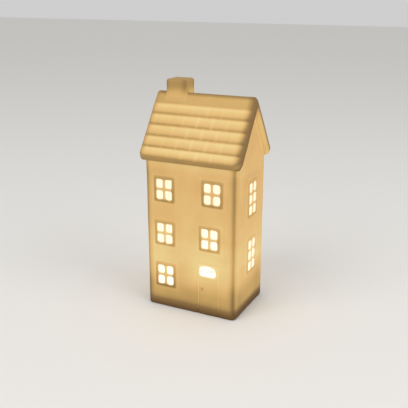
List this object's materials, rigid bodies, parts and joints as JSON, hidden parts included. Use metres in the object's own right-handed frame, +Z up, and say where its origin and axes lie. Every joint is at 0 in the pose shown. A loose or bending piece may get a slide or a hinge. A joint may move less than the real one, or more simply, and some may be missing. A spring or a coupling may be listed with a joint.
{
  "type": "ceramic christmas village house",
  "caption": "Tall lit porcelain village house with a shingled gable roof, chimney, open lattice windows and a door; a battery light insert plugs in from below.",
  "frame": {"origin": "on the table, under the middle of the house", "axes": "+Z up; the front wall with the door faces -Y; the roof's ridge runs along X"},
  "size_m": [0.0814, 0.0604, 0.1704],
  "materials": {
    "porcelain": "matte ivory bisque porcelain that glows warm from the lamp inside",
    "silicone": "translucent matte silicone",
    "insert_plastic": "fine-textured moulded plastic",
    "zinc_steel": "zinc plated",
    "board_laminate": "green solder mask on glass laminate",
    "led_epoxy": "clear cast epoxy, lit",
    "led_metal": "silvered",
    "tinned_metal": "tinned",
    "resistor_body": "plain chip",
    "switch_steel": "plated sheet",
    "switch_laminate": "paper laminate",
    "switch_plastic": "moulded plastic",
    "contact_metal": "nickel-plated spring brass",
    "cell_steel": "plain plated can",
    "retainer_plastic": "moulded plastic"
  },
  "bodies": {
    "light_insert": {"insert_gasket": "silicone", "insert_housing": "insert_plastic", "insert_base": "insert_plastic", "housing_screws": "zinc_steel", "circuit_board": "board_laminate", "led_lens": "led_epoxy", "led_cup": "led_metal", "led_leads": "tinned_metal", "resistor": "resistor_body", "switch_frame": "switch_steel", "switch_base": "switch_laminate", "switch_terminals": "tinned_metal", "contact_negative": "contact_metal", "contact_positive": "contact_metal", "coin_cell": "cell_steel"},
    "house": {"porcelain_house": "porcelain"},
    "switch_slider": {"switch_slider": "switch_plastic"},
    "battery_door": {"battery_door": "insert_plastic"},
    "battery_screw": {"battery_door_screw": "zinc_steel", "screw_retainer": "retainer_plastic"}
  },
  "joints": [
    {"name": "house_lift", "type": "slide", "parent": "light_insert", "child": "house", "axis": [0, 0, 1], "range_m": [0, 0.045]},
    {"name": "switch_slide", "type": "slide", "parent": "light_insert", "child": "switch_slider", "axis": [0, -1, 0], "range_m": [0, 0.002]},
    {"name": "battery_door_swing", "type": "hinge", "parent": "light_insert", "child": "battery_door", "pos_m": [0, -0.01291, 0.00195], "axis": [-1, 0, 0], "range_deg": [0, 100]},
    {"name": "battery_screw_turn", "type": "hinge", "parent": "battery_door", "child": "battery_screw", "pos_m": [0, 0.01346, 0.001], "axis": [0, 0, 1], "continuous": true}
  ]
}
